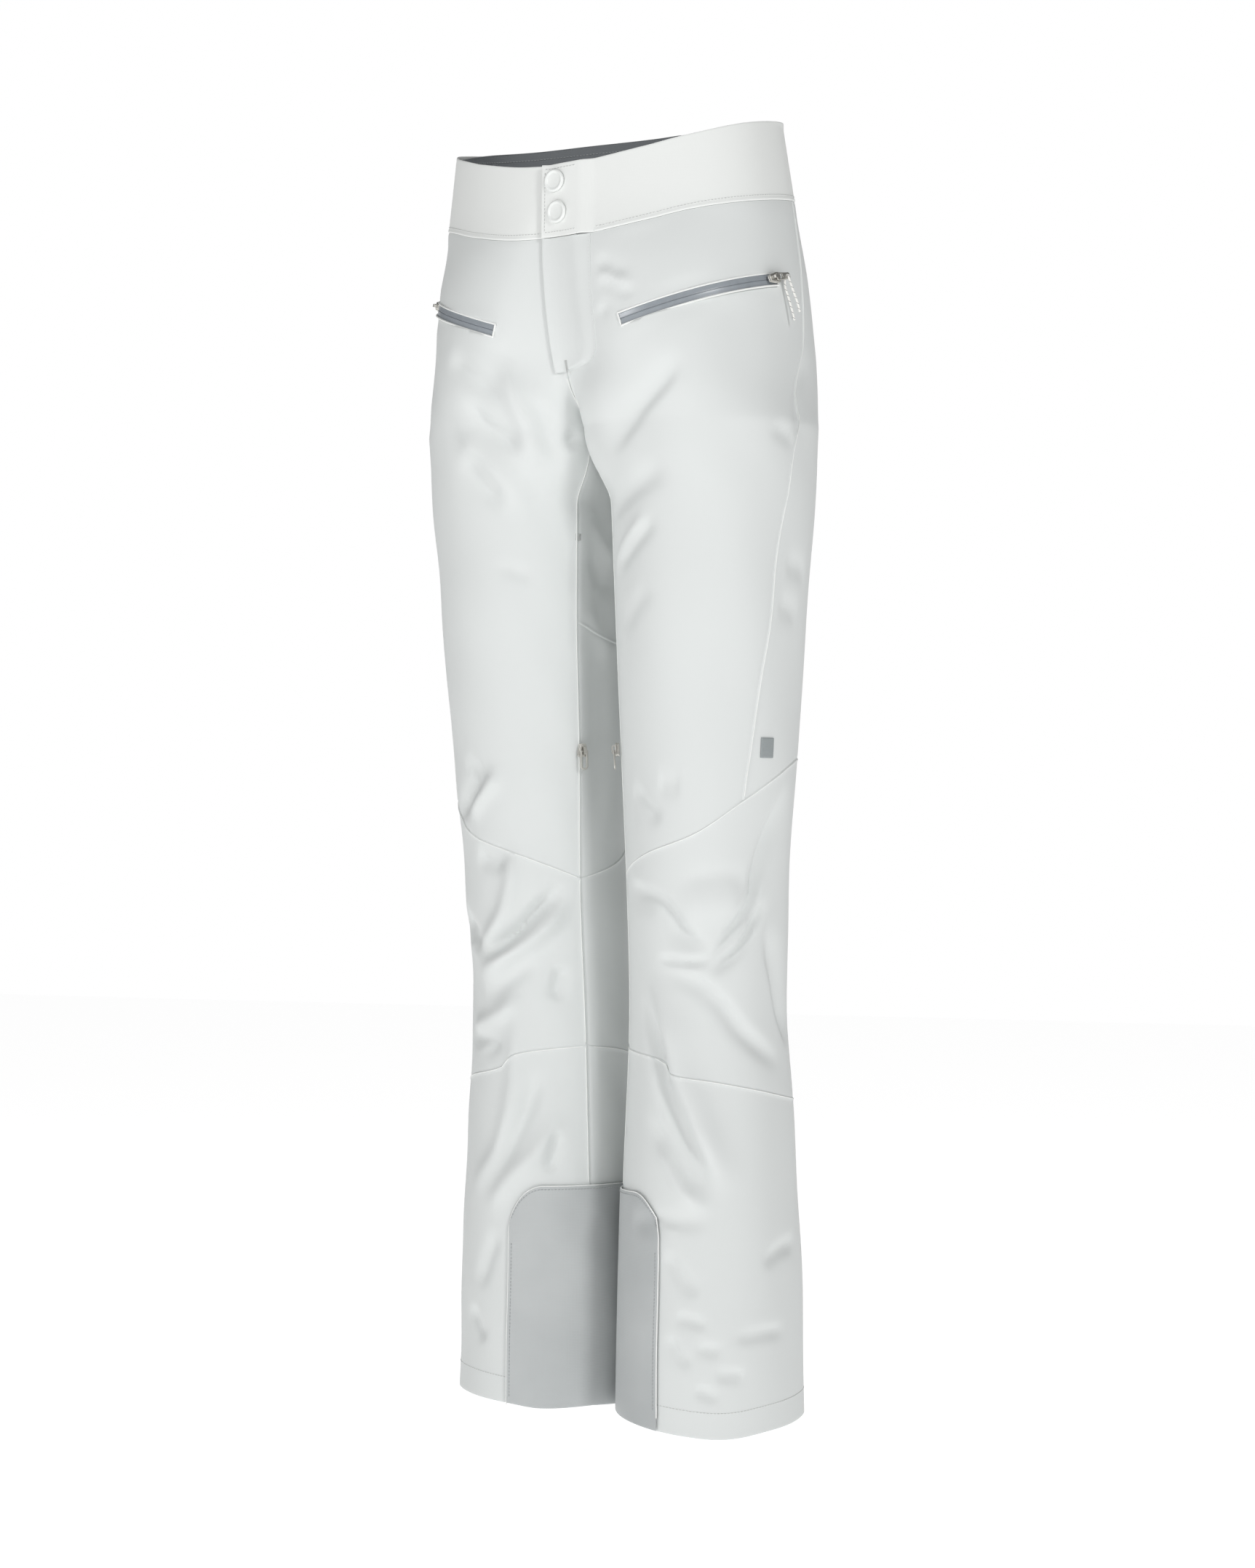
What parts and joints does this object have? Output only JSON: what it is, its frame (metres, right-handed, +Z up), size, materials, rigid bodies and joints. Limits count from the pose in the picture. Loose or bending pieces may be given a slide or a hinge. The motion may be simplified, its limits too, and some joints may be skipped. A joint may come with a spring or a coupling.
{
  "type": "ski trousers",
  "caption": "White ski trousers with a snapped waistband tab, zipped fly and hip pockets, thigh vents, shaped knees, scuff guards and inner gaiters.",
  "frame": {"origin": "middle of the waist on the body axis, level with the top of the rim at the sides", "axes": "+Z up, front towards -Y, the wearer's left towards +X; the trousers hang straight down from the waist"},
  "size_m": [0.3405, 0.2303, 1.0701],
  "materials": {
    "shell_cloth": "matte white woven",
    "waistband_cloth": "matte white stretch woven",
    "lining_cloth": "matte grey knit",
    "scuff_guard_cloth": "pale grey coated cloth",
    "mesh_cloth": "pale grey lining",
    "gripper_rubber": "matte elastic",
    "plated_metal": "bright plated",
    "zip_tape": "grey coated zip tape",
    "snap_plastic": "white",
    "cord": "white braid with dark flecks",
    "patch_print": "plain grey"
  },
  "bodies": {
    "trousers": {"fly_flap": "shell_cloth", "fly_underlap": "shell_cloth", "fly_zip": "zip_tape", "left_back_thigh": "shell_cloth", "left_front_thigh": "shell_cloth", "left_hanger_loop": "lining_cloth", "left_knee_back": "shell_cloth", "left_knee_front": "shell_cloth", "left_pocket_bag": "mesh_cloth", "left_pocket_zip": "zip_tape", "left_seat": "shell_cloth", "left_side_panel": "shell_cloth", "left_vent_zip": "zip_tape", "right_back_thigh": "shell_cloth", "right_front_thigh": "shell_cloth", "right_hanger_loop": "lining_cloth", "right_knee_back": "shell_cloth", "right_knee_front": "shell_cloth", "right_pocket_bag": "mesh_cloth", "right_pocket_zip": "zip_tape", "right_seat": "shell_cloth", "right_side_panel": "shell_cloth", "right_vent_zip": "zip_tape", "side_patch": "patch_print", "snap_stud_lower": "plated_metal", "snap_stud_upper": "plated_metal", "waistband_back": "waistband_cloth", "waistband_left": "waistband_cloth", "waistband_lining": "lining_cloth", "waistband_right": "waistband_cloth"},
    "left_lower_leg": {"left_shin_front": "shell_cloth", "left_shin_back": "shell_cloth", "left_hem_facing": "shell_cloth", "left_scuff_guard": "scuff_guard_cloth", "left_gaiter": "mesh_cloth", "left_gaiter_gripper": "gripper_rubber"},
    "right_lower_leg": {"right_shin_front": "shell_cloth", "right_shin_back": "shell_cloth", "right_hem_facing": "shell_cloth", "right_scuff_guard": "scuff_guard_cloth", "right_gaiter": "mesh_cloth", "right_gaiter_gripper": "gripper_rubber"},
    "tab": {"waistband_tab": "waistband_cloth", "snap_cap_upper": "snap_plastic", "snap_cap_lower": "snap_plastic"},
    "fly_zip_slider": {"fly_slider": "plated_metal"},
    "left_pocket_zip_slider": {"left_pocket_slider": "plated_metal"},
    "left_pocket_zip_pull": {"left_pocket_pull": "plated_metal", "left_pocket_cord": "cord"},
    "left_vent_zip_slider": {"left_vent_slider": "plated_metal"},
    "left_vent_zip_pull": {"left_vent_pull": "plated_metal"},
    "right_pocket_zip_slider": {"right_pocket_slider": "plated_metal"},
    "right_pocket_zip_pull": {"right_pocket_pull": "plated_metal", "right_pocket_cord": "cord"},
    "right_vent_zip_slider": {"right_vent_slider": "plated_metal"},
    "right_vent_zip_pull": {"right_vent_pull": "plated_metal"}
  },
  "joints": [
    {"name": "left_knee", "type": "hinge", "parent": "trousers", "child": "left_lower_leg", "pos_m": [0.079, 0, -0.65], "axis": [1, 0, 0], "range_deg": [0, 50], "deforming": ["left_knee_front", "left_knee_back"]},
    {"name": "left_pocket_zip_travel", "type": "hinge", "parent": "trousers", "child": "left_pocket_zip_slider", "pos_m": [0.04866, -0.00042, -0.15881], "axis": [0.2829, 0.0976, -0.9542], "range_deg": [0, 62]},
    {"name": "left_pocket_pull_swing", "type": "hinge", "parent": "left_pocket_zip_slider", "child": "left_pocket_zip_pull", "pos_m": [0.16168, -0.02987, -0.12831], "axis": [0.2829, 0.0976, -0.9542], "range_deg": [0, 170], "deforming": ["left_pocket_cord"]},
    {"name": "left_vent_zip_travel", "type": "slide", "parent": "trousers", "child": "left_vent_zip_slider", "axis": [-0.0174, -0.0471, 0.9987], "range_m": [0, 0.165]},
    {"name": "left_vent_pull_swing", "type": "hinge", "parent": "left_vent_zip_slider", "child": "left_vent_zip_pull", "pos_m": [0.01454, -0.03838, -0.50274], "axis": [-0.4549, 0.8899, 0.0341], "range_deg": [0, 160]},
    {"name": "right_knee", "type": "hinge", "parent": "trousers", "child": "right_lower_leg", "pos_m": [-0.079, 0, -0.65], "axis": [1, 0, 0], "range_deg": [0, 50], "deforming": ["right_knee_front", "right_knee_back"]},
    {"name": "right_pocket_zip_travel", "type": "hinge", "parent": "trousers", "child": "right_pocket_zip_slider", "pos_m": [-0.05287, -0.00363, -0.15782], "axis": [0.2924, -0.0638, 0.9542], "range_deg": [0, 64]},
    {"name": "right_pocket_pull_swing", "type": "hinge", "parent": "right_pocket_zip_slider", "child": "right_pocket_zip_pull", "pos_m": [-0.15789, -0.04294, -0.12828], "axis": [0.2924, -0.0638, 0.9542], "range_deg": [0, 170], "deforming": ["right_pocket_cord"]},
    {"name": "right_vent_zip_travel", "type": "slide", "parent": "trousers", "child": "right_vent_zip_slider", "axis": [0.0174, -0.0471, 0.9987], "range_m": [0, 0.165]},
    {"name": "right_vent_pull_swing", "type": "hinge", "parent": "right_vent_zip_slider", "child": "right_vent_zip_pull", "pos_m": [-0.01454, -0.03838, -0.50274], "axis": [-0.4549, -0.8899, -0.0341], "range_deg": [0, 160]},
    {"name": "tab_swing", "type": "hinge", "parent": "trousers", "child": "tab", "pos_m": [0.04216, -0.11337, -0.09338], "axis": [-0.0466, 0.0996, 0.9939], "range_deg": [0, 100]},
    {"name": "fly_zip_travel", "type": "slide", "parent": "trousers", "child": "fly_zip_slider", "axis": [0.0218, 0.1674, -0.9856], "range_m": [0, 0.065]}
  ]
}
